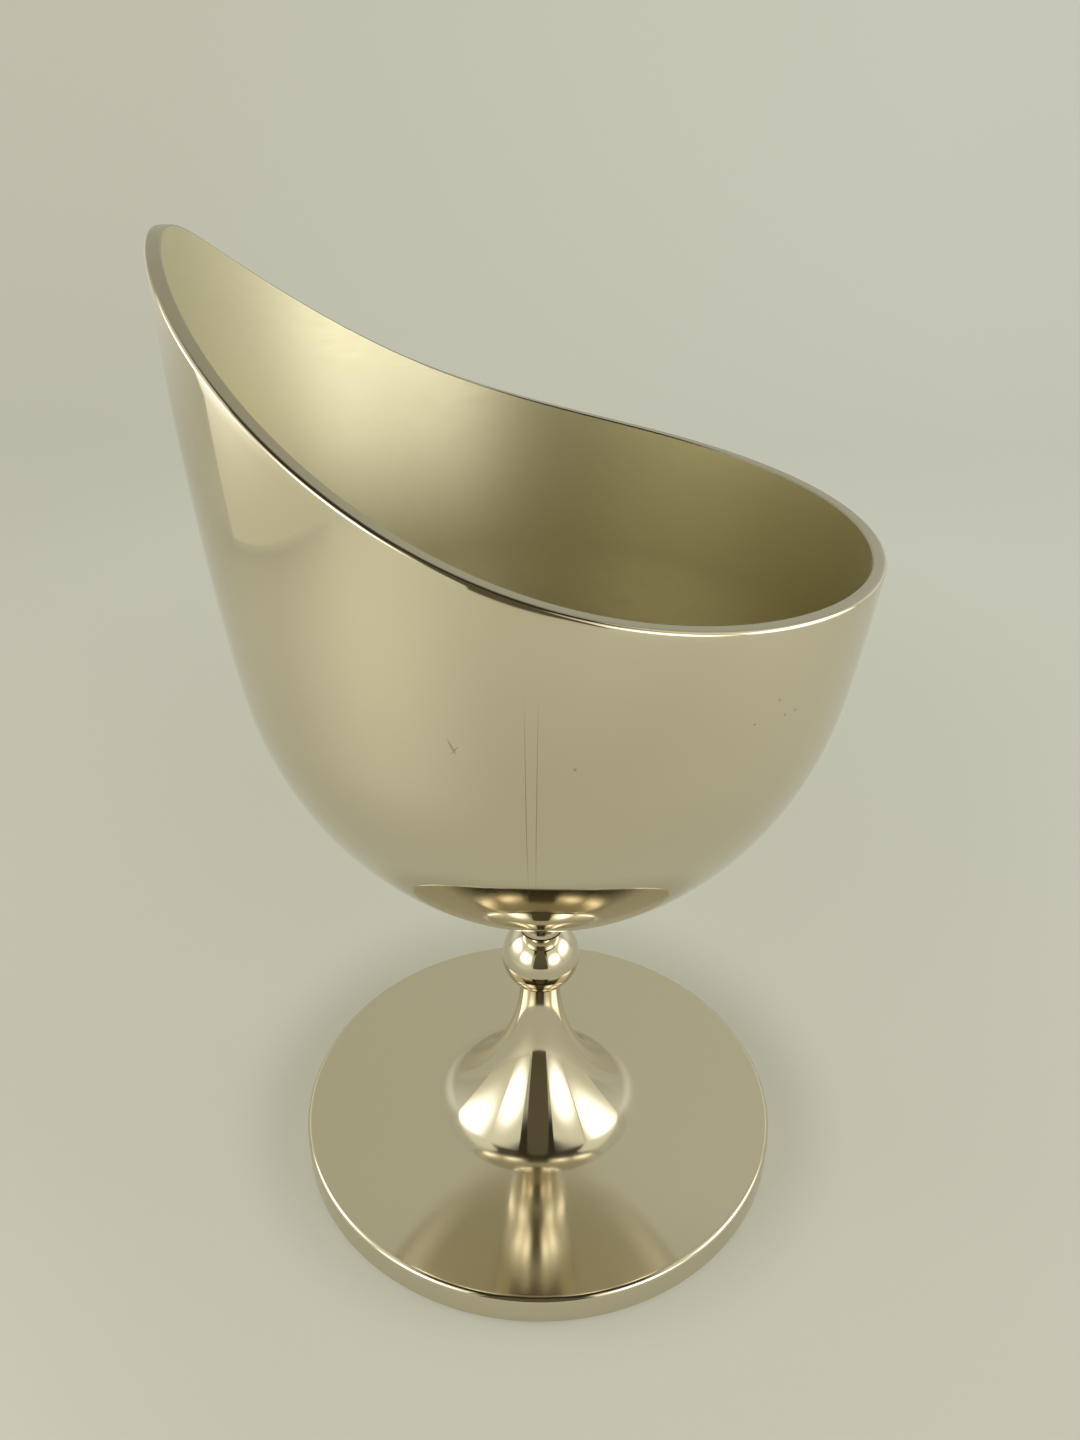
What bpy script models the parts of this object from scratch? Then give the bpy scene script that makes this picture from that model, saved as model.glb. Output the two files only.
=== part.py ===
"""Footed cup with a scooped rim: bowl, collar, ball knop, flared stem and disc foot, clamped by one tie rod.

Units are metres and +Z is up. The origin is the middle of the felt pad's underside, and the tall lip is
at -X. The pieces stack upwards from the pad in the order in which they are clamped.
"""
import math

import bmesh
import bpy

# Gaps between pieces
SEAT_GAP = 0.0003
BORE_CLEARANCE = 0.0003

# Felt pad
FELT_RADIUS = 0.0640
FELT_THICKNESS = 0.0015
FELT_PROUD = 0.0005

# Disc foot
FOOT_RADIUS = 0.0692
FOOT_THICKNESS = 0.0088
FOOT_CROWN = 0.0009
FOOT_TOP_ROUND = 0.0014
FOOT_BOTTOM_ROUND = 0.0006
SPIGOT_HEIGHT = 0.0040

# Fasteners in the foot's nut well, and the tie rod
ROD_RADIUS = 0.0030
ROD_ENGAGEMENT = 0.0086
ROD_CHAMFER = 0.0005
WASHER_RADIUS = 0.0090
WASHER_THICKNESS = 0.0016
SPRING_WASHER_RADIUS = 0.0059
SPRING_WASHER_THICKNESS = 0.0014
SPRING_WASHER_SLIT = 0.0010
SPRING_WASHER_SLIT_ANGLE = math.radians(20)
NUT_ACROSS_FLATS = 0.0100
NUT_THICKNESS = 0.0032
WELL_CLEARANCE = 0.0015

# Stem
STEM_HEIGHT = 0.0442
STEM_WALL = 0.0032
NECK_RADIUS = 0.0057
FLARE_FOOT_RADIUS = 0.0280
FLARE_FILLET = 0.0090
LIP_THICKNESS = 0.0005

# Ball knop
KNOP_RADIUS = 0.0109
KNOP_SEAT_RADIUS = 0.0059

# Collar under the bowl
COLLAR_HEIGHT = 0.0153
COLLAR_NECK_RADIUS = 0.0057
COLLAR_TOP_RADIUS = 0.0129

# Bowl: heights are above its seat on the collar
BOSS_RADIUS = 0.0049
BOSS_LENGTH = 0.0080
BOWL_WALL = 0.0032
FLOOR_THICKNESS = 0.0050
SHOULDER_HEIGHT = 0.0710
SHOULDER_RADIUS = 0.0721
SHOULDER_LEAN = math.radians(8.8)
SIDE_ARC_RADIUS = 0.6650
LOW_RIM_HEIGHT = 0.1005
LIP_HEIGHT = 0.1646
LOW_RIM_SLOPE = math.radians(6.3)
SWOOP_POWER = 3.6
TIP_RISE = 0.0035
TIP_POWER = 30.0
RIM_ROUND = 0.0009
RIM_BREAK = 0.0003

# Colours, linear
NICKEL = (0.75, 0.69, 0.55)
STEEL = (0.56, 0.56, 0.57)
FELT = (0.030, 0.032, 0.030)

# Facets
BOWL_SEGMENTS = 64
FOOT_SEGMENTS = 64
STEM_SEGMENTS = 40
SMALL_SEGMENTS = 32
ROUND_STEPS = 3
SMOOTH_ANGLE = math.radians(35)
MERGE_DISTANCE = 0.00001

# Heights of the stack, from the pad upwards
ROD_BORE = ROD_RADIUS + BORE_CLEARANCE
FOOT_BOTTOM = FELT_PROUD
FOOT_TOP = FOOT_BOTTOM + FOOT_THICKNESS + FOOT_CROWN
FELT_RECESS_TOP = FELT_THICKNESS + SEAT_GAP
NUT_BOTTOM = FELT_RECESS_TOP
SPRING_WASHER_BOTTOM = NUT_BOTTOM + NUT_THICKNESS + SEAT_GAP
WASHER_BOTTOM = SPRING_WASHER_BOTTOM + SPRING_WASHER_THICKNESS + SEAT_GAP
WELL_TOP = WASHER_BOTTOM + WASHER_THICKNESS + SEAT_GAP
STEM_TOP = FOOT_TOP + STEM_HEIGHT
KNOP_HALF_HEIGHT = math.sqrt(KNOP_RADIUS ** 2 - KNOP_SEAT_RADIUS ** 2)
KNOP_CENTRE = STEM_TOP + SEAT_GAP + KNOP_HALF_HEIGHT
COLLAR_BOTTOM = KNOP_CENTRE + KNOP_HALF_HEIGHT + SEAT_GAP
BOWL_SEAT = COLLAR_BOTTOM + COLLAR_HEIGHT + SEAT_GAP
ROD_BOTTOM = NUT_BOTTOM
ROD_TOP = BOWL_SEAT - BOSS_LENGTH + ROD_ENGAGEMENT


# Profiles

def arc(centre, radius, start, end, steps):
    """Points along a circle in the profile plane, from one angle to another."""
    points = []
    for step in range(steps + 1):
        angle = start + (end - start) * step / steps
        points.append((centre[0] + radius * math.cos(angle), centre[1] + radius * math.sin(angle)))
    return points


def flare_circle(neck_radius, foot_radius, height):
    """Arc that leaves a neck upright and spreads to a wider radius: where its centre is, and its radius."""
    spread = foot_radius - neck_radius
    radius = (height ** 2 + spread ** 2) / (2 * spread)
    return neck_radius + radius, radius


def stem_cavity_radius(height):
    """Radius of the hollow inside the flare, one wall inside the outer arc, at a height above the disc."""
    centre, radius = flare_circle(NECK_RADIUS, FLARE_FOOT_RADIUS, STEM_HEIGHT)
    return centre - math.sqrt((radius + STEM_WALL) ** 2 - (STEM_HEIGHT - height) ** 2)


REGISTER_HEIGHT = SPIGOT_HEIGHT + SEAT_GAP
REGISTER_RADIUS = stem_cavity_radius(REGISTER_HEIGHT)


def stem_lip_radius():
    """Radius at which the fillet at the bottom of the flare runs out level with the disc."""
    centre, radius = flare_circle(NECK_RADIUS, FLARE_FOOT_RADIUS, STEM_HEIGHT)
    return centre - math.sqrt((radius - FLARE_FILLET) ** 2 - (STEM_HEIGHT - FLARE_FILLET) ** 2)


# Mesh and object helpers

def clear_scene():
    for obj in list(bpy.data.objects):
        bpy.data.objects.remove(obj, do_unlink=True)


def collection(name):
    made = bpy.data.collections.new(name)
    bpy.context.scene.collection.children.link(made)
    return made


def metal(name, colour, roughness):
    return principled(name, colour, roughness, 1.0)


def principled(name, colour, roughness, metallic):
    material = bpy.data.materials.new(name)
    material.use_nodes = True
    shader = material.node_tree.nodes["Principled BSDF"]
    shader.inputs["Base Color"].default_value = (*colour, 1.0)
    shader.inputs["Roughness"].default_value = roughness
    shader.inputs["Metallic"].default_value = metallic
    return material


def add_object(name, mesh, material, height):
    """Put a mesh in the assembly at its height on the common axis."""
    obj = bpy.data.objects.new(name, mesh)
    obj.location = (0.0, 0.0, height)
    obj.parent = axis_empty
    mesh.materials.append(material)
    parts.objects.link(obj)
    return obj


def smooth(obj):
    obj.data.shade_smooth()
    obj.data.set_sharp_from_angle(angle=SMOOTH_ANGLE)


def apply_modifiers(obj):
    """Swap the object's mesh for its evaluated one."""
    evaluated = obj.evaluated_get(bpy.context.evaluated_depsgraph_get())
    mesh = bpy.data.meshes.new_from_object(evaluated)
    obj.modifiers.clear()
    obj.data = mesh
    smooth(obj)


def turned(name, profile, segments, material, height, closed=True):
    """Turn a profile about Z. A closed profile is a ring with a bore, an open one ends on the axis."""
    mesh = bpy.data.meshes.new(name)
    edges = [(i, i + 1) for i in range(len(profile) - 1)]
    if closed:
        edges.append((len(profile) - 1, 0))
    mesh.from_pydata([(radius, 0.0, z) for radius, z in profile], edges, [])
    obj = add_object(name, mesh, material, height)
    screw = obj.modifiers.new("turn", "SCREW")
    screw.steps = segments
    screw.render_steps = segments
    screw.use_merge_vertices = True
    screw.merge_threshold = MERGE_DISTANCE
    apply_modifiers(obj)
    return obj


def cutter(name, mesh, height):
    obj = bpy.data.objects.new(name, mesh)
    obj.location = (0.0, 0.0, height)
    obj.hide_render = True
    obj.display_type = "WIRE"
    cutters.objects.link(obj)
    return obj


def cut(obj, tool):
    boolean = obj.modifiers.new("cut", "BOOLEAN")
    boolean.operation = "DIFFERENCE"
    boolean.object = tool


def cylinder_mesh(name, radius, length, segments):
    """Upright prism standing on the local origin."""
    mesh = bpy.data.meshes.new(name)
    work = bmesh.new()
    bmesh.ops.create_cone(
        work, cap_ends=True, segments=segments, radius1=radius, radius2=radius, depth=length)
    bmesh.ops.translate(work, verts=work.verts, vec=(0.0, 0.0, length / 2))
    work.to_mesh(mesh)
    work.free()
    return mesh


# Foot

def felt_pad():
    profile = [(0.0, FELT_THICKNESS), (FELT_RADIUS, FELT_THICKNESS), (FELT_RADIUS, 0.0), (0.0, 0.0)]
    felt = principled("felt", FELT, 0.95, 0.0)
    turned("felt_pad", profile, FOOT_SEGMENTS, felt, 0.0, closed=False)


def disc_foot():
    """Slightly crowned disc with a spigot that centres the stem, a groove for its lip and a nut well below."""
    top = FOOT_THICKNESS + FOOT_CROWN
    spigot_radius = REGISTER_RADIUS - BORE_CLEARANCE
    groove_radius = stem_lip_radius() + BORE_CLEARANCE
    groove_floor = top - LIP_THICKNESS - SEAT_GAP
    felt_recess = FELT_RECESS_TOP - FOOT_BOTTOM
    well_radius = WASHER_RADIUS + WELL_CLEARANCE
    well_top = WELL_TOP - FOOT_BOTTOM
    profile = [
        (ROD_BORE, top + SPIGOT_HEIGHT),
        (spigot_radius, top + SPIGOT_HEIGHT),
        (spigot_radius, groove_floor),
        (groove_radius, groove_floor),
        (groove_radius, top),
    ]
    edge_centre = (FOOT_RADIUS - FOOT_TOP_ROUND, FOOT_THICKNESS - FOOT_TOP_ROUND)
    profile += arc(edge_centre, FOOT_TOP_ROUND, math.pi / 2, 0.0, ROUND_STEPS + 1)
    low_centre = (FOOT_RADIUS - FOOT_BOTTOM_ROUND, FOOT_BOTTOM_ROUND)
    profile += arc(low_centre, FOOT_BOTTOM_ROUND, 0.0, -math.pi / 2, ROUND_STEPS)
    profile += [
        (FELT_RADIUS + BORE_CLEARANCE, 0.0),
        (FELT_RADIUS + BORE_CLEARANCE, felt_recess),
        (well_radius, felt_recess),
        (well_radius, well_top),
        (ROD_BORE, well_top),
    ]
    turned("disc_foot", profile, FOOT_SEGMENTS, metal("foot_nickel", NICKEL, 0.08), FOOT_BOTTOM)


# Stem stack

def stem():
    """Trumpet-shaped hollow stem: one arc from neck to foot, a fillet, and a thin lip let into the disc."""
    arc_steps = 9
    fillet_steps = 5
    cavity_steps = 6
    centre, radius = flare_circle(NECK_RADIUS, FLARE_FOOT_RADIUS, STEM_HEIGHT)
    lip_radius = stem_lip_radius()
    fillet_angle = math.atan2(STEM_HEIGHT - FLARE_FILLET, centre - lip_radius)
    profile = [(ROD_BORE, STEM_HEIGHT)]
    profile += arc((centre, STEM_HEIGHT), radius, math.pi, math.pi + fillet_angle, arc_steps)
    fillet_centre = (lip_radius, FLARE_FILLET)
    profile += arc(fillet_centre, FLARE_FILLET, math.pi + fillet_angle, 1.5 * math.pi, fillet_steps)[1:]
    profile += [
        (lip_radius, -LIP_THICKNESS),
        (REGISTER_RADIUS, -LIP_THICKNESS),
    ]
    inner_radius = radius + STEM_WALL
    start = math.asin((STEM_HEIGHT - REGISTER_HEIGHT) / inner_radius)
    end = math.acos((centre - ROD_BORE) / inner_radius)
    profile += arc((centre, STEM_HEIGHT), inner_radius, math.pi + start, math.pi + end, cavity_steps)
    turned("stem", profile, STEM_SEGMENTS, metal("stem_nickel", NICKEL, 0.05), FOOT_TOP)


def knop():
    """Ball with a flat seat at each end and a bore for the tie rod."""
    ball_steps = 11
    seat_angle = math.asin(KNOP_HALF_HEIGHT / KNOP_RADIUS)
    profile = [(ROD_BORE, KNOP_HALF_HEIGHT)]
    profile += arc((0.0, 0.0), KNOP_RADIUS, seat_angle, -seat_angle, ball_steps)
    profile += [(ROD_BORE, -KNOP_HALF_HEIGHT)]
    turned("knop", profile, SMALL_SEGMENTS, metal("knop_nickel", NICKEL, 0.05), KNOP_CENTRE)


def collar():
    """Small flare between knop and bowl, counterbored for the boss under the bowl."""
    arc_steps = 6
    centre, radius = flare_circle(COLLAR_NECK_RADIUS, COLLAR_TOP_RADIUS, COLLAR_HEIGHT)
    top_angle = math.asin(COLLAR_HEIGHT / radius)
    boss_bore = BOSS_RADIUS + BORE_CLEARANCE
    boss_floor = COLLAR_HEIGHT - BOSS_LENGTH
    profile = [(boss_bore, COLLAR_HEIGHT)]
    profile += arc((centre, 0.0), radius, math.pi - top_angle, math.pi, arc_steps)
    profile += [
        (ROD_BORE, 0.0),
        (ROD_BORE, boss_floor),
        (boss_bore, boss_floor),
    ]
    turned("collar", profile, SMALL_SEGMENTS, metal("collar_nickel", NICKEL, 0.05), COLLAR_BOTTOM)


# Bowl

def belly_circle():
    """Circle that is tangent to the side wall at the shoulder and passes through the edge of the seat."""
    across = COLLAR_TOP_RADIUS - SHOULDER_RADIUS
    normal = (math.cos(SHOULDER_LEAN), -math.sin(SHOULDER_LEAN))
    along_normal = across * normal[0] - SHOULDER_HEIGHT * normal[1]
    radius = -(across ** 2 + SHOULDER_HEIGHT ** 2) / (2 * along_normal)
    centre = (SHOULDER_RADIUS - radius * normal[0], SHOULDER_HEIGHT - radius * normal[1])
    return centre, radius


def side_circle():
    """Large circle that carries the side wall on upwards from the shoulder."""
    centre_radius = SHOULDER_RADIUS - SIDE_ARC_RADIUS * math.cos(SHOULDER_LEAN)
    centre_height = SHOULDER_HEIGHT + SIDE_ARC_RADIUS * math.sin(SHOULDER_LEAN)
    return (centre_radius, centre_height), SIDE_ARC_RADIUS


def side_radius(height, inset=0.0):
    """Radius of the side wall at a height above the shoulder, or of a surface set in from it."""
    centre, radius = side_circle()
    return centre[0] + math.sqrt((radius - inset) ** 2 - (height - centre[1]) ** 2)


def floor_circle():
    """Dished floor on the axis, tangent to the inside of the belly: height of its centre, and its radius."""
    (centre_radius, centre_height), radius = belly_circle()
    inner = radius - BOWL_WALL
    drop = centre_height - FLOOR_THICKNESS
    dish = (centre_radius ** 2 + drop ** 2 - inner ** 2) / (2 * (drop - inner))
    return FLOOR_THICKNESS + dish, dish


def rim_curve():
    """Side view of the rim: a gentle slope from the low side, a swoop, and a last rise to a pointed tip."""
    low_side = side_radius(LOW_RIM_HEIGHT)
    span = low_side + side_radius(LIP_HEIGHT)
    slope = math.tan(LOW_RIM_SLOPE)
    swoop = LIP_HEIGHT - TIP_RISE - LOW_RIM_HEIGHT - span * slope

    def height(x):
        run = max(low_side - x, 0.0)
        share = run / span
        return LOW_RIM_HEIGHT + run * slope + swoop * share ** SWOOP_POWER + TIP_RISE * share ** TIP_POWER

    return height


def rim_heights(segments):
    """Rim height at each azimuth, where the side view's curve meets the leaning wall."""
    curve = rim_curve()
    settle_rounds = 12
    heights = []
    for segment in range(segments):
        azimuth = 2 * math.pi * segment / segments
        height = LOW_RIM_HEIGHT
        for _ in range(settle_rounds):
            height = curve(side_radius(height) * math.cos(azimuth))
        heights.append(height)
    return heights


def bowl_section(rim_height):
    """Half section of the bowl, from the hole in its boss, round the rim, to the middle of its floor."""
    belly_steps = 8
    side_steps = 5
    floor_steps = 5
    hole_top = ROD_ENGAGEMENT - BOSS_LENGTH + SEAT_GAP
    section = [
        (0.0, hole_top),
        (ROD_BORE, hole_top),
        (ROD_BORE, -BOSS_LENGTH),
        (BOSS_RADIUS, -BOSS_LENGTH),
        (BOSS_RADIUS, 0.0),
    ]
    belly, belly_radius = belly_circle()
    seat_angle = math.atan2(-belly[1], COLLAR_TOP_RADIUS - belly[0])
    section += arc(belly, belly_radius, seat_angle, -SHOULDER_LEAN, belly_steps)
    side_top = rim_height - RIM_ROUND
    levels = [SHOULDER_HEIGHT + (side_top - SHOULDER_HEIGHT) * step / side_steps
              for step in range(1, side_steps + 1)]
    section += [(side_radius(level), level) for level in levels]
    round_centre = (side_radius(side_top) - RIM_ROUND, side_top)
    section += arc(round_centre, RIM_ROUND, 0.0, math.pi / 2, ROUND_STEPS)[1:]
    inner_top = side_radius(rim_height, BOWL_WALL)
    section += [(inner_top + RIM_BREAK, rim_height), (inner_top, rim_height - RIM_BREAK)]
    section += [(side_radius(level, BOWL_WALL), level) for level in reversed(levels[:-1])]
    dish_centre, dish_radius = floor_circle()
    meet_angle = math.atan2(dish_centre - belly[1], -belly[0])
    section += arc(belly, belly_radius - BOWL_WALL, -SHOULDER_LEAN, meet_angle, belly_steps - 2)
    section += arc((0.0, dish_centre), dish_radius, meet_angle, -math.pi / 2, floor_steps)[1:-1]
    section.append((0.0, FLOOR_THICKNESS))
    return section


def bowl():
    """Loft through the half sections: the rim face stays level across the wall while its height swoops."""
    sections = [bowl_section(height) for height in rim_heights(BOWL_SEGMENTS)]
    work = bmesh.new()
    below = work.verts.new((0.0, 0.0, sections[0][0][1]))
    above = work.verts.new((0.0, 0.0, sections[0][-1][1]))
    ribs = []
    for segment, section in enumerate(sections):
        azimuth = 2 * math.pi * segment / BOWL_SEGMENTS
        ribs.append([
            work.verts.new((radius * math.cos(azimuth), radius * math.sin(azimuth), z))
            for radius, z in section[1:-1]
        ])
    for rib, following in zip(ribs, ribs[1:] + ribs[:1]):
        work.faces.new((below, following[0], rib[0]))
        for level in range(len(rib) - 1):
            work.faces.new((rib[level], following[level], following[level + 1], rib[level + 1]))
        work.faces.new((above, rib[-1], following[-1]))
    bmesh.ops.recalc_face_normals(work, faces=work.faces)
    mesh = bpy.data.meshes.new("bowl")
    work.to_mesh(mesh)
    work.free()
    smooth(add_object("bowl", mesh, metal("bowl_nickel", NICKEL, 0.10), BOWL_SEAT))


# Tie rod and fasteners

def tie_rod():
    length = ROD_TOP - ROD_BOTTOM
    profile = [
        (0.0, length),
        (ROD_RADIUS - ROD_CHAMFER, length),
        (ROD_RADIUS, length - ROD_CHAMFER),
        (ROD_RADIUS, ROD_CHAMFER),
        (ROD_RADIUS - ROD_CHAMFER, 0.0),
        (0.0, 0.0),
    ]
    turned("tie_rod", profile, SMALL_SEGMENTS, metal("rod_steel", STEEL, 0.35), ROD_BOTTOM, closed=False)


def flat_ring(name, radius, thickness, bottom):
    """Plain ring round the tie rod."""
    profile = [(ROD_BORE, thickness), (radius, thickness), (radius, 0.0), (ROD_BORE, 0.0)]
    return turned(name, profile, SMALL_SEGMENTS, metal(name + "_steel", STEEL, 0.35), bottom)


def spring_washer():
    """Ring split by a slanting slit."""
    ring = flat_ring("spring_washer", SPRING_WASHER_RADIUS, SPRING_WASHER_THICKNESS, SPRING_WASHER_BOTTOM)
    mesh = bpy.data.meshes.new("spring_washer_slit")
    work = bmesh.new()
    bmesh.ops.create_cube(work, size=1.0)
    bmesh.ops.scale(
        work, verts=work.verts, vec=(SPRING_WASHER_RADIUS, SPRING_WASHER_SLIT, 4 * SPRING_WASHER_THICKNESS))
    work.to_mesh(mesh)
    work.free()
    slit = cutter("spring_washer_slit", mesh, SPRING_WASHER_BOTTOM + SPRING_WASHER_THICKNESS / 2)
    slit.location.x = SPRING_WASHER_RADIUS / 2 + ROD_BORE / 2
    slit.rotation_euler.x = SPRING_WASHER_SLIT_ANGLE
    cut(ring, slit)


def tie_nut():
    corner_radius = NUT_ACROSS_FLATS / math.sqrt(3)
    mesh = cylinder_mesh("tie_nut", corner_radius, NUT_THICKNESS, 6)
    nut = add_object("tie_nut", mesh, metal("nut_steel", STEEL, 0.35), NUT_BOTTOM)
    bore_mesh = cylinder_mesh("tie_nut_bore", ROD_BORE, 2 * NUT_THICKNESS, SMALL_SEGMENTS)
    cut(nut, cutter("tie_nut_bore", bore_mesh, NUT_BOTTOM - NUT_THICKNESS / 2))


clear_scene()
parts = collection("scooped_chalice")
cutters = collection("cutters")
axis_empty = bpy.data.objects.new("common_axis", None)
parts.objects.link(axis_empty)

felt_pad()
disc_foot()
stem()
knop()
collar()
bowl()
tie_rod()
flat_ring("washer", WASHER_RADIUS, WASHER_THICKNESS, WASHER_BOTTOM)
spring_washer()
tie_nut()
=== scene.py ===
import math

import bmesh
import bpy
from mathutils import Matrix, Vector

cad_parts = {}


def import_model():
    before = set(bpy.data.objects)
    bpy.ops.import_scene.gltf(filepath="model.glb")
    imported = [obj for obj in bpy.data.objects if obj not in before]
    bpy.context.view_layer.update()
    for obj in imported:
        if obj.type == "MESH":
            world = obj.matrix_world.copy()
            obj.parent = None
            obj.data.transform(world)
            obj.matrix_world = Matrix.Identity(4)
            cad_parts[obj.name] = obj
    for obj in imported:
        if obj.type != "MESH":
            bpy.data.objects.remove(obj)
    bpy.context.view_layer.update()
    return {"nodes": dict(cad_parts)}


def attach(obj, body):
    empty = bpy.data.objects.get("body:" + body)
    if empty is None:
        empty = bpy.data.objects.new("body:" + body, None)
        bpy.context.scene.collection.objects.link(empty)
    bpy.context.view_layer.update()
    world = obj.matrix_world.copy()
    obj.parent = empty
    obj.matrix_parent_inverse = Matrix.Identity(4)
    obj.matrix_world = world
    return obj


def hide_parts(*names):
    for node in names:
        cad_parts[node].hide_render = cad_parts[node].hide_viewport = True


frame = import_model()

# Camera, fitted to the foot, rim and outline in the photo
CAMERA_TURN = math.radians(-4.72)
CAMERA_REACH = 0.2559
CAMERA_HEIGHT = 0.2806
CAMERA_PITCH = math.radians(28.95)
CAMERA_ROLL = math.radians(0.87)
CAMERA_CLIP_START = 0.01
LENS_MM = 29.12
SENSOR_MM = 36.0
PHOTO_HEIGHT_PX = 1440
CENTRE_SHIFT_PX = 4.2

# Stack, from the felt upwards
SEAT_GAP = 0.0003
FOOT_RADIUS = 0.0692
FOOT_BOTTOM = 0.0005
FOOT_EDGE_TOP = 0.0093
FOOT_CROWN = 0.0009
FOOT_TOP = FOOT_EDGE_TOP + FOOT_CROWN
FOOT_TOP_ROUND = 0.0014
FOOT_BOTTOM_ROUND = 0.0006
FELT_RECESS_RADIUS = 0.0643
FELT_RECESS_TOP = 0.0018
STEM_HEIGHT = 0.0442
NECK_RADIUS = 0.0057
FLARE_FOOT_RADIUS = 0.0280
FLARE_FILLET = 0.0090
LIP_THICKNESS = 0.0005
LIP_FLAT = 0.0006
ROD_BORE = 0.0033
KNOP_RADIUS = 0.0109
KNOP_SEAT_RADIUS = 0.0059
COLLAR_HEIGHT = 0.0153
COLLAR_NECK_RADIUS = 0.0057
COLLAR_TOP_RADIUS = 0.0129
KNOP_HALF_HEIGHT = math.sqrt(KNOP_RADIUS ** 2 - KNOP_SEAT_RADIUS ** 2)
KNOP_CENTRE = FOOT_TOP + STEM_HEIGHT + SEAT_GAP + KNOP_HALF_HEIGHT
COLLAR_BOTTOM = KNOP_CENTRE + KNOP_HALF_HEIGHT + SEAT_GAP
BOWL_SEAT = COLLAR_BOTTOM + COLLAR_HEIGHT + SEAT_GAP

# Bowl: heights are above its seat
BOWL_WALL = 0.0032
FLOOR_THICKNESS = 0.0050
SHOULDER_HEIGHT = 0.0710
SHOULDER_RADIUS = 0.0721
SHOULDER_LEAN = math.radians(8.8)
SIDE_ARC_RADIUS = 0.6650
LOW_RIM_HEIGHT = 0.1005
LIP_HEIGHT = 0.1646
LOW_RIM_SLOPE = math.radians(6.3)
SWOOP_POWER = 3.6
TIP_RISE = 0.0035
TIP_POWER = 30.0
RIM_ROUND = 0.0009
RIM_BREAK = 0.0003

# Mesh fineness. Of the steps in the rim's round, the polished ones are those next to the wall.
BOWL_SEGMENTS = 320
TURNED_SEGMENTS = 192
BELLY_STEPS = 48
SIDE_STEPS = 28
FLOOR_STEPS = 24
ROUND_STEPS = 10
ROUND_POLISHED = 6
FLARE_STEPS = 64
FILLET_STEPS = 24
SETTLE_ROUNDS = 12
SMOOTH_ANGLE = math.radians(30)

# Metals and felt: linear colours, and roughness from least to most
NICKEL = (0.668, 0.608, 0.475, 1.0)
NICKEL_WARM = (0.645, 0.585, 0.45, 1.0)
NICKEL_RIM = (0.51, 0.47, 0.375, 1.0)
SATIN = (0.67, 0.625, 0.435, 1.0)
# Painted shade: the inside of the bowl takes a darker colour low down, which fades to its own colour
# between the two heights below
SATIN_PAINTED_SHADE = (0.46, 0.415, 0.25, 1.0)
SATIN_SHADE_CLIMB = (0.10, 0.165)
STEEL = (0.56, 0.56, 0.57, 1.0)
FELT = (0.030, 0.032, 0.030, 1.0)
POLISH = (0.035, 0.065)
RIM_SATIN = (0.24, 0.27)
INSIDE_SATIN = (0.44, 0.52)
STEEL_SATIN = (0.25, 0.45)
FELT_MATT = (0.9, 1.0)

# Stem and disc: roughness, the radii between which it changes, and its stretch across the turning lines
FLARE_POLISH = 0.045
FOOT_SMEAR = 0.13
DISC_SMEAR = 0.10
FLARE_SMEAR_RISE = (0.020, 0.027)
FOOT_SMEAR_FALL = (0.029, 0.038)
DISC_ANISOTROPY = 0.95
QUARTER_TURN = 0.25

# Grain: noises as (scale, detail), and the band that most of a noise's values lie in
NOISE_BAND = (0.32, 0.68)
HAZE_NOISE = (55.0, 4.0)
PATCH_NOISE = (18.0, 2.0)
BRUSH_NOISE = (160.0, 3.0)
BRUSH_STRETCH = (1.0, 1.0, 25.0)
STEEL_NOISE = (900.0, 4.0)
FELT_NOISE = (2500.0, 4.0)
GRAIN_STRENGTH = 0.25
GRAIN_DEPTH = 0.0002

# Wear on the bowl's outside, with angles in degrees. A scratch is azimuth, height, half width, half length
# and tilt. A pit is azimuth, height and radius.
SCRATCHES = (
    (-97.25, 0.1602, 0.00014, 0.0270, 0.5),
    (-95.65, 0.1603, 0.00014, 0.0270, -0.3),
    (-107.85, 0.1728, 0.00025, 0.0022, 24.0),
    (-107.45, 0.1722, 0.00020, 0.0016, -38.0),
)
PITS = (
    (-90.20, 0.1692, 0.00040),
    (-57.75, 0.1771, 0.00045),
    (-55.55, 0.1727, 0.00040),
    (-53.25, 0.1728, 0.00040),
    (-61.95, 0.1731, 0.00035),
)
CHART_RADIUS = 0.0715
TARNISH = (0.22, 0.18, 0.11, 1.0)
MARK_EDGE = (1.0, 0.4)
MARK_ROUGHNESS = 0.30
MARK_TARNISH = 0.55
MARK_STRENGTH = 0.5
MARK_DEPTH = 0.0001

# Floor: linear colour, glows where 1 is white, and the places between which they change. The glows hold
# painted light and shade: a shade round the foot, a pool of light at the front left, a brighter front, and
# a tint that is warmer and darker at the left.
FLOOR_COLOUR = (0.31, 0.308, 0.272, 1.0)
FLOOR_ROUGHNESS = 0.9
FLOOR_SHEEN = 0.1
# Painted shade: the glow is darker round the foot, centred a little behind it
FLOOR_GLOW_SHADE = (0.25, 0.245, 0.185, 1.0)
FLOOR_GLOW_NEAR = (0.325, 0.322, 0.26, 1.0)
FLOOR_GLOW_FAR = (0.43, 0.428, 0.357, 1.0)
# Painted light: the front of the floor glows brighter
FLOOR_GLOW_FRONT = (0.50, 0.493, 0.385, 1.0)
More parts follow.
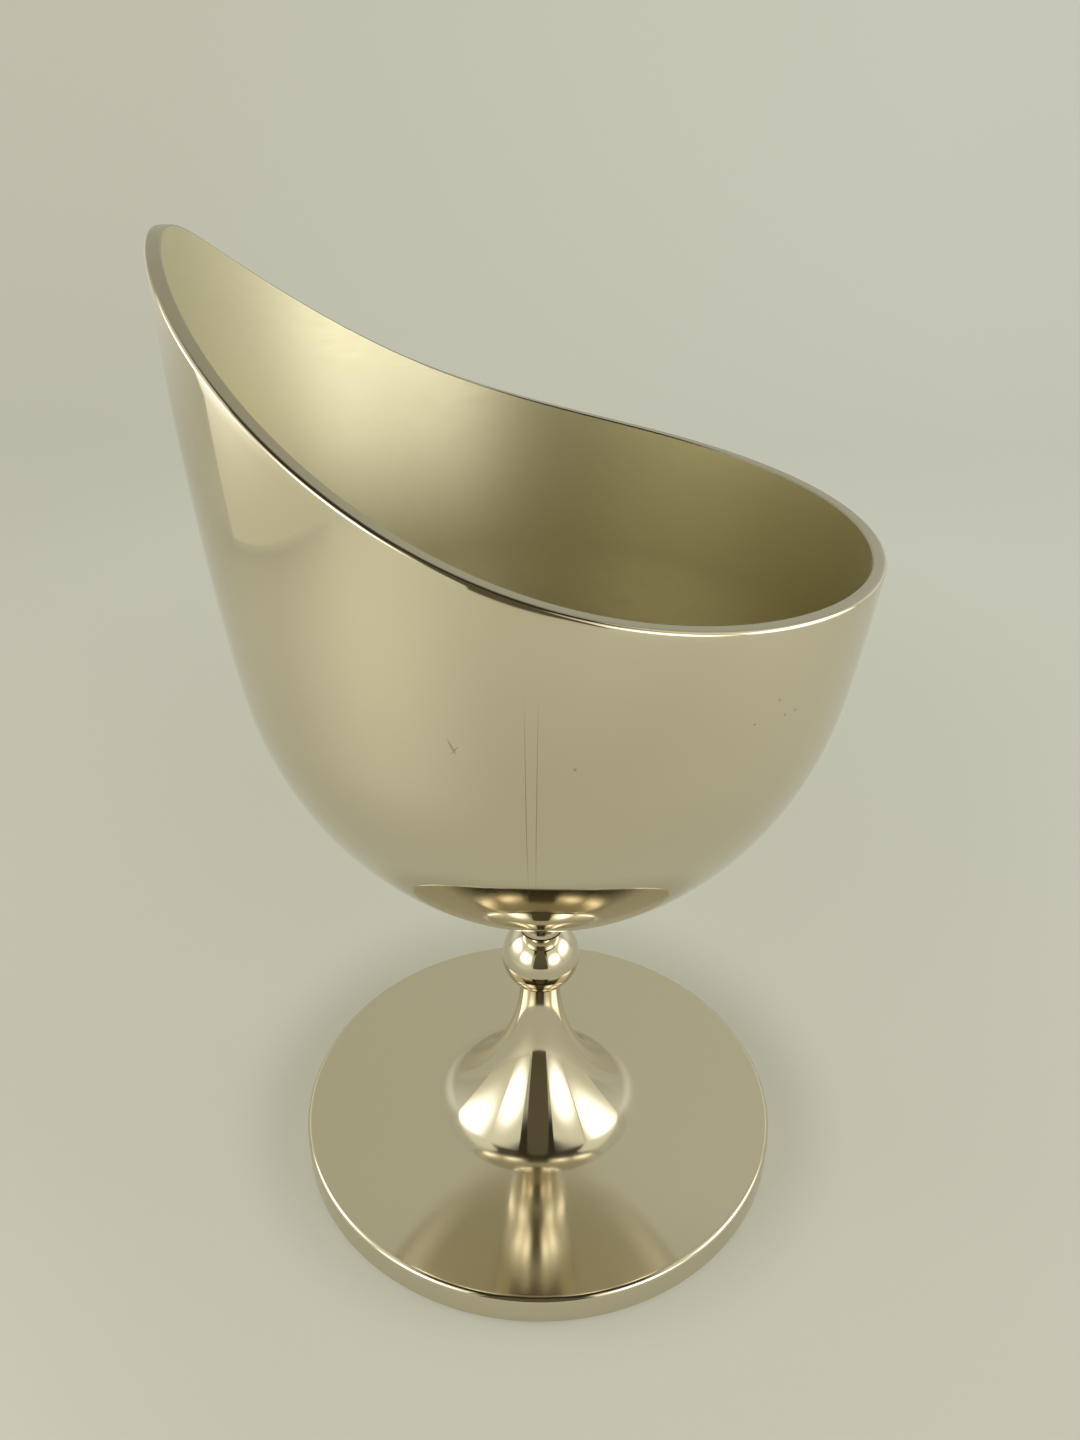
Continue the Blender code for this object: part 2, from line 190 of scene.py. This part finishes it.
# Painted light: a brighter pool on the floor at the front left
FLOOR_GLOW_LIGHT_POOL = (0.58, 0.575, 0.46, 1.0)
FLOOR_SHADE_CENTRE = (0.0, 0.012, 0.0)
FLOOR_SHADE = (0.068, 0.100)
FLOOR_FAR = (0.12, 0.60)
FLOOR_FRONT = (-0.20, -0.44)
FLOOR_LIGHT_POOL = (-0.28, -0.22, 0.0)
FLOOR_LIGHT_POOL_REACH = (0.26, 0.26, 1.0)
# Painted light: the floor's glow is warmer and darker at the left, cooler and brighter at the right
FLOOR_LIGHT_TINT_LEFT = (0.95, 0.95, 0.93, 1.0)
FLOOR_LIGHT_TINT_RIGHT = (1.06, 1.07, 1.10, 1.0)
FLOOR_LIGHT_TINT_SPAN = (-0.4, 0.4)
SWEEP_HALF_WIDTH = 1.6
SWEEP_FRONT = -1.6
SWEEP_BACK = 0.75
SWEEP_BEND = 0.45
SWEEP_TOP = 1.8
SWEEP_STEPS = 24

# Tent and lamps: glows where 1 is white. A lamp is a place and the reach of its glow along each axis.
WORLD_COLOUR = (0.53, 0.525, 0.42, 1.0)
OVERHEAD_COLOUR = (0.04, 0.036, 0.022, 1.0)
OVERHEAD_AXIS = (0.0, -0.42, 0.907)
OVERHEAD_EDGE = (0.72, 0.88)
FABRIC_LOW = (0.72, 0.71, 0.54, 1.0)
FABRIC_HIGH = (0.88, 0.865, 0.68, 1.0)
FABRIC_CLIMB = (0.02, 0.12)
LAMP_GLOW = (4.6, 4.55, 4.5, 1.0)
LAMP_FALLOFF = 2.0
TENT_HALF_WIDTH = 0.465
PANEL_BACK = 0.147
PANEL_FRONT = -0.24
PANEL_LOW = 0.008
PANEL_HIGH = 0.95
SIDE_LAMPS = {
    "left_panel": (-TENT_HALF_WIDTH, 0.03, 0.265),
    "right_panel": (TENT_HALF_WIDTH, -0.05, 0.265),
}
SIDE_LAMP_REACH = (1.0, 0.38, 0.26)
FRONT_LAMPS = {
    "left_front_lamp": (-TENT_HALF_WIDTH, -0.451, 0.25),
    "right_front_lamp": (TENT_HALF_WIDTH, -0.516, 0.25),
}
FRONT_LAMP_REACH = (0.42, 0.42, 0.36)
FRONT_BOARD_HALF = (0.25, 0.34)
BACK_LAMPS = {"left_back_lamp": (-0.50, 0.36, 0.27), "right_back_lamp": (0.50, 0.36, 0.27)}
BACK_LAMP_REACH = (0.50, 0.50, 0.26)
BACK_BOARD_HALF = (0.36, 0.27)
BACK_GLOW = (0.88, 0.88, 0.80, 1.0)

# Dark opening behind the camera
GAP_COLOUR = (0.22, 0.19, 0.125, 1.0)
GAP_ROUGHNESS = 0.9
GAP_PLACE = -0.425
GAP_HIGH = 0.70
GAP_HALF_LOW = 0.16
GAP_HALF_HIGH = 0.08


# Profiles

def arc(centre, radius, start, end, steps):
    points = []
    for step in range(steps + 1):
        angle = start + (end - start) * step / steps
        points.append((centre[0] + radius * math.cos(angle), centre[1] + radius * math.sin(angle)))
    return points


def flare_circle(neck_radius, foot_radius, height):
    """Distance of the centre from the axis, and radius, of the arc that leaves the neck upright."""
    spread = foot_radius - neck_radius
    radius = (height ** 2 + spread ** 2) / (2 * spread)
    return neck_radius + radius, radius


def stem_lip_radius():
    """Where the fillet under the flare runs out on the disc."""
    centre, radius = flare_circle(NECK_RADIUS, FLARE_FOOT_RADIUS, STEM_HEIGHT)
    return centre - math.sqrt((radius - FLARE_FILLET) ** 2 - (STEM_HEIGHT - FLARE_FILLET) ** 2)


# Meshes

def lofted(name, ribs, caps=None):
    """Closed skin through ribs of points round the axis. Caps are the heights of the poles of open ribs."""
    work = bmesh.new()
    count = len(ribs)
    columns = []
    for index, rib in enumerate(ribs):
        azimuth = 2 * math.pi * index / count
        turned = [(r * math.cos(azimuth), r * math.sin(azimuth), z) for r, z in rib]
        columns.append([work.verts.new(point) for point in turned])
    levels = len(columns[0])
    spans = range(levels) if caps is None else range(levels - 1)
    for column, following in zip(columns, columns[1:] + columns[:1]):
        for level in spans:
            after = (level + 1) % levels
            work.faces.new((column[level], following[level], following[after], column[after]))
    if caps is not None:
        first = work.verts.new((0.0, 0.0, caps[0]))
        last = work.verts.new((0.0, 0.0, caps[1]))
        for column, following in zip(columns, columns[1:] + columns[:1]):
            work.faces.new((first, following[0], column[0]))
            work.faces.new((last, column[-1], following[-1]))
    bmesh.ops.recalc_face_normals(work, faces=work.faces)
    mesh = bpy.data.meshes.new(name)
    work.to_mesh(mesh)
    work.free()
    mesh.shade_smooth()
    mesh.set_sharp_from_angle(angle=SMOOTH_ANGLE)
    obj = bpy.data.objects.new(name, mesh)
    bpy.context.scene.collection.objects.link(obj)
    return obj


def ring(name, profile, node, material):
    """Turned piece with a bore, which stands for a solid of the frame."""
    obj = lofted(name, [profile] * TURNED_SEGMENTS)
    obj.data.materials.append(material)
    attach(obj, "root")
    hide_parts(node)
    return obj


# Bowl

def belly_circle():
    """Centre and radius of the arc from the collar that meets the side without a bend."""
    across = COLLAR_TOP_RADIUS - SHOULDER_RADIUS
    normal = (math.cos(SHOULDER_LEAN), -math.sin(SHOULDER_LEAN))
    along_normal = across * normal[0] - SHOULDER_HEIGHT * normal[1]
    radius = -(across ** 2 + SHOULDER_HEIGHT ** 2) / (2 * along_normal)
    return (SHOULDER_RADIUS - radius * normal[0], SHOULDER_HEIGHT - radius * normal[1]), radius


def side_radius(height, inset=0.0):
    centre_radius = SHOULDER_RADIUS - SIDE_ARC_RADIUS * math.cos(SHOULDER_LEAN)
    centre_height = SHOULDER_HEIGHT + SIDE_ARC_RADIUS * math.sin(SHOULDER_LEAN)
    return centre_radius + math.sqrt((SIDE_ARC_RADIUS - inset) ** 2 - (height - centre_height) ** 2)


def floor_circle():
    """Height of the centre, and radius, of the dished floor that meets the inner belly without a bend."""
    (centre_radius, centre_height), radius = belly_circle()
    inner = radius - BOWL_WALL
    drop = centre_height - FLOOR_THICKNESS
    dish = (centre_radius ** 2 + drop ** 2 - inner ** 2) / (2 * (drop - inner))
    return FLOOR_THICKNESS + dish, dish


def rim_curve():
    """Side view of the rim: a gentle slope from the low side, a swoop, and a last rise to a pointed tip."""
    low_side = side_radius(LOW_RIM_HEIGHT)
    span = low_side + side_radius(LIP_HEIGHT)
    slope = math.tan(LOW_RIM_SLOPE)
    swoop = LIP_HEIGHT - TIP_RISE - LOW_RIM_HEIGHT - span * slope

    def height(x):
        run = max(low_side - x, 0.0)
        share = run / span
        return LOW_RIM_HEIGHT + run * slope + swoop * share ** SWOOP_POWER + TIP_RISE * share ** TIP_POWER

    return height


def rim_height(curve, azimuth):
    """Height where the side meets the rim's curve, found in rounds because each depends on the other."""
    height = LOW_RIM_HEIGHT
    for _ in range(SETTLE_ROUNDS):
        height = curve(side_radius(height) * math.cos(azimuth))
    return height


def bowl_rib(height):
    """Half section from beside the axis underneath, round the rim, to beside the middle of the floor."""
    belly, belly_radius = belly_circle()
    seat_angle = math.atan2(-belly[1], COLLAR_TOP_RADIUS - belly[0])
    rib = [(ROD_BORE, 0.0)]
    rib += arc(belly, belly_radius, seat_angle, -SHOULDER_LEAN, BELLY_STEPS)
    lean = SHOULDER_LEAN - (height - SHOULDER_HEIGHT) / SIDE_ARC_RADIUS
    side_top = height - RIM_ROUND * (1 + math.sin(lean))
    levels = [SHOULDER_HEIGHT + (side_top - SHOULDER_HEIGHT) * step / SIDE_STEPS
              for step in range(1, SIDE_STEPS + 1)]
    rib += [(side_radius(level), level) for level in levels]
    round_centre = (side_radius(side_top) - RIM_ROUND * math.cos(lean), height - RIM_ROUND)
    rib += arc(round_centre, RIM_ROUND, -lean, math.pi / 2, ROUND_STEPS)[1:]
    inner_top = side_radius(height, BOWL_WALL)
    rib += [(inner_top + RIM_BREAK, height), (inner_top, height - RIM_BREAK)]
    rib += [(side_radius(level, BOWL_WALL), level) for level in reversed(levels[:-1])]
    dish_centre, dish_radius = floor_circle()
    meet_angle = math.atan2(dish_centre - belly[1], -belly[0])
    rib += arc(belly, belly_radius - BOWL_WALL, -SHOULDER_LEAN, meet_angle, BELLY_STEPS)
    rib += arc((0.0, dish_centre), dish_radius, meet_angle, -math.pi / 2, FLOOR_STEPS)[1:-1]
    return [(r, z + BOWL_SEAT) for r, z in rib]


def bowl_skin(outside, rim, inside):
    """Bowl in three finishes. The rim's takes in the top of its round, its face and its broken edge."""
    curve = rim_curve()
    azimuths = [2 * math.pi * index / BOWL_SEGMENTS for index in range(BOWL_SEGMENTS)]
    ribs = [bowl_rib(rim_height(curve, azimuth)) for azimuth in azimuths]
    obj = lofted("bowl_skin", ribs, caps=(BOWL_SEAT, BOWL_SEAT + FLOOR_THICKNESS))
    finishes = (outside, rim, inside)
    for material in finishes:
        obj.data.materials.append(material)
    outside_slot, rim_slot, inside_slot = range(len(finishes))
    round_start = 1 + BELLY_STEPS + SIDE_STEPS
    rim_start = round_start + ROUND_POLISHED
    flat_face = round_start + ROUND_STEPS
    broken_edge = flat_face + 1
    spans = len(ribs[0]) - 1
    for face in obj.data.polygons:
        level = face.index % spans
        if face.index >= spans * BOWL_SEGMENTS:
            underneath = face.center.z < BOWL_SEAT + FLOOR_THICKNESS / 2
            face.material_index = outside_slot if underneath else inside_slot
        elif level < rim_start:
            face.material_index = outside_slot
        elif level <= broken_edge:
            face.material_index = rim_slot
        else:
            face.material_index = inside_slot
    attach(obj, "root")
    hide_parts("bowl")
    return obj


# Foot and stem

def crown_slope():
    """Slope of the disc's top, from the lip of the stem down to the rounded edge."""
    return math.atan2(FOOT_CROWN, FOOT_RADIUS - FOOT_TOP_ROUND - stem_lip_radius())


def disc_skin(material):
    slope = crown_slope()
    drop = LIP_FLAT * math.tan(slope)
    groove = stem_lip_radius() + LIP_FLAT
    groove_floor = FOOT_TOP - LIP_THICKNESS
    edge_centre = (FOOT_RADIUS - FOOT_TOP_ROUND, FOOT_EDGE_TOP - FOOT_TOP_ROUND)
    low_centre = (FOOT_RADIUS - FOOT_BOTTOM_ROUND, FOOT_BOTTOM + FOOT_BOTTOM_ROUND)
    edge = arc(edge_centre, FOOT_TOP_ROUND, math.pi / 2 - slope, 0.0, ROUND_STEPS)
    profile = [(ROD_BORE, groove_floor), (groove, groove_floor), (groove, FOOT_TOP - drop)]
    profile += [(edge[0][0] - LIP_FLAT, edge[0][1] + drop)]
    profile += edge
    profile += arc(low_centre, FOOT_BOTTOM_ROUND, 0.0, -math.pi / 2, ROUND_STEPS)
    profile += [
        (FELT_RECESS_RADIUS, FOOT_BOTTOM),
        (FELT_RECESS_RADIUS, FELT_RECESS_TOP),
        (ROD_BORE, FELT_RECESS_TOP),
    ]
    return ring("disc_skin", profile, "disc_foot", material)


def stem_skin(material):
    centre, radius = flare_circle(NECK_RADIUS, FLARE_FOOT_RADIUS, STEM_HEIGHT)
    lip = stem_lip_radius()
    angle = math.atan2(STEM_HEIGHT - FLARE_FILLET, centre - lip)
    slope = crown_slope()
    profile = [(ROD_BORE, STEM_HEIGHT)]
    profile += arc((centre, STEM_HEIGHT), radius, math.pi, math.pi + angle, FLARE_STEPS)
    fillet = (lip, FLARE_FILLET)
    profile += arc(fillet, FLARE_FILLET, math.pi + angle, 1.5 * math.pi - slope, FILLET_STEPS)[1:]
    edge = lip + LIP_FLAT
    profile += [(edge, -LIP_FLAT * math.tan(slope)), (edge, -LIP_THICKNESS), (ROD_BORE, -LIP_THICKNESS)]
    return ring("stem_skin", [(r, z + FOOT_TOP) for r, z in profile], "stem", material)


def knop_skin(material):
    angle = math.asin(KNOP_HALF_HEIGHT / KNOP_RADIUS)
    profile = [(ROD_BORE, KNOP_HALF_HEIGHT)]
    profile += arc((0.0, 0.0), KNOP_RADIUS, angle, -angle, FLARE_STEPS)
    profile += [(ROD_BORE, -KNOP_HALF_HEIGHT)]
    return ring("knop_skin", [(r, z + KNOP_CENTRE) for r, z in profile], "knop", material)


def collar_skin(material):
    centre, radius = flare_circle(COLLAR_NECK_RADIUS, COLLAR_TOP_RADIUS, COLLAR_HEIGHT)
    angle = math.asin(COLLAR_HEIGHT / radius)
    profile = [(ROD_BORE, COLLAR_HEIGHT)]
    profile += arc((centre, 0.0), radius, math.pi - angle, math.pi, FLARE_STEPS)
    profile += [(ROD_BORE, 0.0)]
    return ring("collar_skin", [(r, z + COLLAR_BOTTOM) for r, z in profile], "collar", material)


# Node trees

class Graph:
    """Node tree of one material or world, with a short way to add a node and wire its inputs."""

    def __init__(self, owner):
        owner.use_nodes = True
        self.nodes = owner.node_tree.nodes
        self.links = owner.node_tree.links

    def wire(self, node, inputs):
        for key, value in inputs.items():
            if isinstance(value, bpy.types.NodeSocket):
                self.links.new(value, node.inputs[key])
            else:
                node.inputs[key].default_value = value

    def add(self, kind, inputs, **settings):
        node = self.nodes.new("ShaderNode" + kind)
        for name, value in settings.items():
            setattr(node, name, value)
        self.wire(node, inputs)
        return node.outputs

    def coords(self):
        return self.add("TexCoord", {})["Object"]

    def parts(self, coords):
        return self.add("SeparateXYZ", {"Vector": coords})

    def flat(self, coords):
        """Coordinates without their height."""
        return self.vector("MULTIPLY", coords, (1.0, 1.0, 0.0))["Vector"]

    def noise(self, coords, kind, stretch=(1.0, 1.0, 1.0)):
        scale, detail = kind
        stretched = self.add("Mapping", {"Vector": coords, "Scale": stretch})["Vector"]
        return self.add("TexNoise", {"Vector": stretched, "Scale": scale, "Detail": detail})["Fac"]

    def spread(self, value, source, target=(0.0, 1.0), interpolation="LINEAR"):
        inputs = {
            "Value": value,
            "From Min": source[0],
            "From Max": source[1],
            "To Min": target[0],
            "To Max": target[1],
        }
        return self.add("MapRange", inputs, interpolation_type=interpolation)["Result"]

    def fade(self, value, source):
        """From 0 to 1 with soft ends, between the two values of the source."""
        return self.spread(value, source, interpolation="SMOOTHSTEP")

    def mix(self, factor, first, second):
        return self.add("Mix", {"Factor": factor, "A": first, "B": second}, data_type="RGBA")["Result"]

    def vector(self, operation, first, second=None):
        inputs = {0: first} if second is None else {0: first, 1: second}
        return self.add("VectorMath", inputs, operation=operation)

    def value(self, operation, first, second):
        return self.add("Math", {0: first, 1: second}, operation=operation)["Value"]

    def oval(self, coords, centre, half_sizes, tilt=0.0):
        """Distance from a centre, where 1 is the edge of a tilted oval."""
        inputs = {"Vector": coords, "Location": centre, "Scale": half_sizes, "Rotation": (0.0, 0.0, tilt)}
        away = self.add("Mapping", inputs, vector_type="TEXTURE")["Vector"]
        return self.vector("LENGTH", away)["Value"]

    def hot_spot(self, coords, centre, reach):
        """1 at the centre of a glow, and 0 where its reach ends."""
        edge_to_centre = (1.0, 0.0)
        return self.fade(self.oval(coords, centre, reach), edge_to_centre)


def shaded(name, metallic=1.0):
    """Material with one shader, a metal unless told otherwise."""
    material = bpy.data.materials.new(name)
    graph = Graph(material)
    shader = graph.nodes["Principled BSDF"]
    shader.inputs["Metallic"].default_value = metallic
    return material, graph, shader


def glowing(name):
    """Material that only gives light: its node tree and the output that a shader is wired to."""
    material = bpy.data.materials.new(name)
    graph = Graph(material)
    graph.nodes.remove(graph.nodes["Principled BSDF"])
    return material, graph, graph.nodes["Material Output"]


# Materials of the part

def bowl_chart(graph, coords):
    """Unrolls the bowl: distance round it at its mean radius, and height."""
    parts = graph.parts(coords)
    azimuth = graph.value("ARCTAN2", parts["Y"], parts["X"])
    around = graph.value("MULTIPLY", azimuth, CHART_RADIUS)
    return graph.add("CombineXYZ", {"X": around, "Y": parts["Z"], "Z": 0.0})["Vector"]


def marks(graph, chart, ovals):
    """One mask for a list of marks: 1 in the middle of each and 0 outside them."""
    nearest = None
    for azimuth, height, half_width, half_length, tilt in ovals:
        centre = (math.radians(azimuth) * CHART_RADIUS, height, 0.0)
        distance = graph.oval(chart, centre, (half_width, half_length, 1.0), math.radians(tilt))
        nearest = distance if nearest is None else graph.value("MINIMUM", nearest, distance)
    return graph.spread(nearest, MARK_EDGE)


def polished_nickel(name, worn):
    """Buffed mirror with a haze, a slight warmth in patches, and scratches and pits where worn."""
    material, graph, shader = shaded(name)
    coords = graph.coords()
    haze = graph.noise(coords, HAZE_NOISE)
    roughness = graph.spread(haze, NOISE_BAND, POLISH)
    patches = graph.noise(coords, PATCH_NOISE)
    colour = graph.mix(graph.spread(patches, NOISE_BAND), NICKEL, NICKEL_WARM)
    if worn:
        chart = bowl_chart(graph, coords)
        scratched = marks(graph, chart, SCRATCHES)
        pitted = marks(graph, chart, [(azimuth, height, size, size, 0.0) for azimuth, height, size in PITS])
        hurt = graph.value("MAXIMUM", scratched, pitted)
        roughness = graph.value("ADD", roughness, graph.value("MULTIPLY", hurt, MARK_ROUGHNESS))
        colour = graph.mix(graph.value("MULTIPLY", hurt, MARK_TARNISH), colour, TARNISH)
        dent = {"Height": hurt, "Strength": MARK_STRENGTH, "Distance": MARK_DEPTH}
        graph.wire(shader, {"Normal": graph.add("Bump", dent, invert=True)["Normal"]})
    graph.wire(shader, {"Base Color": colour, "Roughness": roughness})
    return material


def satin_nickel(name, colour, roughness, painted_shade=None):
    """Fine brush lines round the axis under a soft satin. A darker colour, painted shade, takes over low in
    the bowl.
    """
    material, graph, shader = shaded(name)
    coords = graph.coords()
    # Painted shade: darker low in the bowl, fading out between the heights of the climb
    if painted_shade is not None:
        colour = graph.mix(graph.fade(graph.parts(coords)["Z"], SATIN_SHADE_CLIMB), painted_shade, colour)
    lines = graph.noise(coords, BRUSH_NOISE, BRUSH_STRETCH)
    graph.wire(shader, {"Base Color": colour, "Roughness": graph.spread(lines, NOISE_BAND, roughness)})
    return material


def turned_nickel(name):
    """Stem and disc: a mirror on the flare, roughest in the fillet, smeared across turning lines."""
    material, graph, shader = shaded(name)
    radius = graph.vector("LENGTH", graph.flat(graph.coords()))["Value"]
    flare = graph.spread(radius, FLARE_SMEAR_RISE, (FLARE_POLISH, FOOT_SMEAR))
    disc = graph.spread(radius, FOOT_SMEAR_FALL, (FOOT_SMEAR, DISC_SMEAR))
    graph.wire(shader, {
        "Base Color": NICKEL,
        "Roughness": graph.value("MINIMUM", flare, disc),
        "Anisotropic": DISC_ANISOTROPY,
        "Anisotropic Rotation": QUARTER_TURN,
        "Tangent": graph.add("Tangent", {}, direction_type="RADIAL", axis="Z")["Tangent"],
    })
    return material


def grained(name, colour, metallic, roughness, noise):
    """Fine grain for plated steel and felt."""
    material, graph, shader = shaded(name, metallic)
    grain = graph.noise(graph.coords(), noise)
    dents = graph.add("Bump", {"Height": grain, "Strength": GRAIN_STRENGTH, "Distance": GRAIN_DEPTH})
    graph.wire(shader, {
        "Base Color": colour,
        "Roughness": graph.spread(grain, NOISE_BAND, roughness),
        "Normal": dents["Normal"],
    })
    return material


# Materials of the studio

def floor_material():
    """Pale paper. Camera and mirrors see part of it as a glow, and the rest as lit and shadowed paper. The
    glow holds painted shade round the foot, a painted pool of light at the front left, a painted brighter
    front and a painted tint of light from left to right.
    """
    material, graph, shader = shaded("floor", metallic=0.0)
    flat = graph.flat(graph.coords())
    place = graph.parts(flat)
    # Painted shade round the foot
    beyond_shade = graph.fade(graph.vector("DISTANCE", flat, FLOOR_SHADE_CENTRE)["Value"], FLOOR_SHADE)
    far = graph.fade(graph.vector("LENGTH", flat)["Value"], FLOOR_FAR)
    # Painted light: brighter towards the front
    front = graph.fade(place["Y"], FLOOR_FRONT)
    # Painted pool of light at the front left
    light_pool = graph.hot_spot(flat, FLOOR_LIGHT_POOL, FLOOR_LIGHT_POOL_REACH)
    near_glow = graph.mix(beyond_shade, FLOOR_GLOW_SHADE, FLOOR_GLOW_NEAR)
    round_glow = graph.mix(far, near_glow, FLOOR_GLOW_FAR)
    open_glow = graph.mix(front, round_glow, FLOOR_GLOW_FRONT)
    glow = graph.mix(light_pool, open_glow, FLOOR_GLOW_LIGHT_POOL)
    # Painted light: a tint from left to right
    light_tint = graph.mix(graph.spread(place["X"], FLOOR_LIGHT_TINT_SPAN), FLOOR_LIGHT_TINT_LEFT, FLOOR_LIGHT_TINT_RIGHT)
    path = graph.add("LightPath", {})
    graph.wire(shader, {
        "Base Color": FLOOR_COLOUR,
        "Roughness": FLOOR_ROUGHNESS,
        "Specular IOR Level": FLOOR_SHEEN,
        "Emission Color": graph.vector("MULTIPLY", glow, light_tint)["Vector"],
        "Emission Strength": graph.value("MAXIMUM", path["Is Camera Ray"], path["Is Glossy Ray"]),
    })
    return material


def lit_fabric(name, lamp, reach):
    """Tent fabric, darker towards the table, with a soft hot spot where a lamp stands behind it."""
    material, graph, output = glowing(name)
    coords = graph.coords()
    fabric = graph.mix(graph.spread(graph.parts(coords)["Z"], FABRIC_CLIMB), FABRIC_LOW, FABRIC_HIGH)
    heat = graph.value("POWER", graph.hot_spot(coords, lamp, reach), LAMP_FALLOFF)
    glow = graph.add("Emission", {"Color": graph.mix(heat, fabric, LAMP_GLOW)})["Emission"]
    graph.wire(output, {"Surface": glow})
    return material


def soft_glow(name, lamp, reach):
    """Weak lamp without an edge: it is clear where its reach ends."""
    material, graph, output = glowing(name)
    spot = graph.hot_spot(graph.coords(), lamp, reach)
    glow = graph.add("Emission", {"Color": BACK_GLOW})["Emission"]
    clear = graph.add("BsdfTransparent", {})["BSDF"]
    graph.wire(output, {"Surface": graph.add("MixShader", {"Fac": spot, 1: clear, 2: glow})["Shader"]})
    return material


# Studio

studio = bpy.data.objects.new("studio", None)
studio.rotation_euler.z = CAMERA_TURN
bpy.context.scene.collection.objects.link(studio)


def stage_object(name, corners, faces, material, seen=False):
    mesh = bpy.data.meshes.new(name)
    mesh.from_pydata(corners, [], faces)
    mesh.materials.append(material)
    obj = bpy.data.objects.new(name, mesh)
    obj.parent = studio
    obj.visible_camera = seen
    bpy.context.scene.collection.objects.link(obj)
    return obj


def board(name, corners, material):
    """Flat board with four corners, which mirrors show and the camera doesn't see."""
    return stage_object(name, corners, [(0, 1, 2, 3)], material)


def sweep():
    """Floor that curves up into a backdrop."""
    bend = arc((SWEEP_BACK, SWEEP_BEND), SWEEP_BEND, -math.pi / 2, 0.0, SWEEP_STEPS)
    line = [(SWEEP_FRONT, 0.0)] + bend + [(SWEEP_BACK + SWEEP_BEND, SWEEP_TOP)]
    corners = []
    for y, z in line:
        corners += [(-SWEEP_HALF_WIDTH, y, z), (SWEEP_HALF_WIDTH, y, z)]
    starts = range(0, len(corners) - 2, 2)
    faces = [(start, start + 1, start + 3, start + 2) for start in starts]
    stage_object("floor", corners, faces, floor_material(), seen=True).data.shade_smooth()


def side_panel(name, lamp):
    x = lamp[0]
    corners = [
        (x, PANEL_FRONT, PANEL_LOW),
        (x, PANEL_BACK, PANEL_LOW),
        (x, PANEL_BACK, PANEL_HIGH),
        (x, PANEL_FRONT, PANEL_HIGH),
    ]
    board(name, corners, lit_fabric(name, lamp, SIDE_LAMP_REACH))


def corner_lamp(name, lamp, half_size, material):
    """Board with a lamp at a corner of the tent, facing the part."""
    x, y, _ = lamp
    half_width, half_height = half_size
    middle = Vector((x, y, PANEL_LOW + half_height))
    toward = Vector((-x, -y, 0.0)).normalized()
    side = Vector((-toward.y, toward.x, 0.0)) * half_width
    up = Vector((0.0, 0.0, half_height))
    corners = [middle - side - up, middle + side - up, middle + side + up, middle - side + up]
    return board(name, corners, material)


def front_gap():
    """Dark opening behind the camera, narrower towards the top."""
    material, graph, shader = shaded("front_gap", metallic=0.0)
    graph.wire(shader, {"Base Color": GAP_COLOUR, "Roughness": GAP_ROUGHNESS})
    corners = [
        (-GAP_HALF_LOW, GAP_PLACE, 0.0),
        (GAP_HALF_LOW, GAP_PLACE, 0.0),
        (GAP_HALF_HIGH, GAP_PLACE, GAP_HIGH),
        (-GAP_HALF_HIGH, GAP_PLACE, GAP_HIGH),
    ]
    board("front_gap", corners, material)


def camera():
    turn = Matrix.Rotation(CAMERA_TURN, 4, "Z")
    place = Matrix.Translation((0.0, -CAMERA_REACH, CAMERA_HEIGHT))
    tilt = Matrix.Rotation(math.pi / 2 - CAMERA_PITCH, 4, "X")
    roll = Matrix.Rotation(CAMERA_ROLL, 4, "Z")
    data = bpy.data.cameras.new("camera")
    data.lens = LENS_MM
    data.sensor_width = SENSOR_MM
    data.shift_x = -CENTRE_SHIFT_PX / PHOTO_HEIGHT_PX
    data.clip_start = CAMERA_CLIP_START
    obj = bpy.data.objects.new("camera", data)
    obj.matrix_world = turn @ place @ tilt @ roll
    bpy.context.scene.collection.objects.link(obj)
    bpy.context.scene.camera = obj


def world():
    """Pale all round, and dark overhead towards the camera."""
    tent = bpy.data.worlds.new("tent")
    graph = Graph(tent)
    direction = graph.add("TexCoord", {})["Generated"]
    nearness = graph.vector("DOT_PRODUCT", direction, OVERHEAD_AXIS)["Value"]
    overhead = graph.fade(nearness, OVERHEAD_EDGE)
    graph.wire(graph.nodes["Background"], {"Color": graph.mix(overhead, WORLD_COLOUR, OVERHEAD_COLOUR)})
    bpy.context.scene.world = tent


# The part

bowl_skin(polished_nickel("worn_nickel", True),
          satin_nickel("rim_nickel", NICKEL_RIM, RIM_SATIN),
          satin_nickel("satin_nickel", SATIN, INSIDE_SATIN, SATIN_PAINTED_SHADE))
turned = turned_nickel("turned_nickel")
disc_skin(turned)
stem_skin(turned)
bright = polished_nickel("polished_nickel", False)
knop_skin(bright)
collar_skin(bright)

steel = grained("plated_steel", STEEL, 1.0, STEEL_SATIN, STEEL_NOISE)
felt = grained("felt", FELT, 0.0, FELT_MATT, FELT_NOISE)
hidden = {"tie_rod": steel, "washer": steel, "spring_washer": steel, "tie_nut": steel, "felt_pad": felt}
for node, material in hidden.items():
    frame["nodes"][node].data.materials.clear()
    frame["nodes"][node].data.materials.append(material)

# The studio round it

sweep()
for name, lamp in SIDE_LAMPS.items():
    side_panel(name, lamp)
for name, lamp in FRONT_LAMPS.items():
    corner_lamp(name, lamp, FRONT_BOARD_HALF, lit_fabric(name, lamp, FRONT_LAMP_REACH))
for name, lamp in BACK_LAMPS.items():
    weak = corner_lamp(name, lamp, BACK_BOARD_HALF, soft_glow(name, lamp, BACK_LAMP_REACH))
    weak.visible_diffuse = False
    weak.visible_shadow = False
front_gap()
camera()
world()
bpy.context.scene.view_settings.view_transform = "Standard"
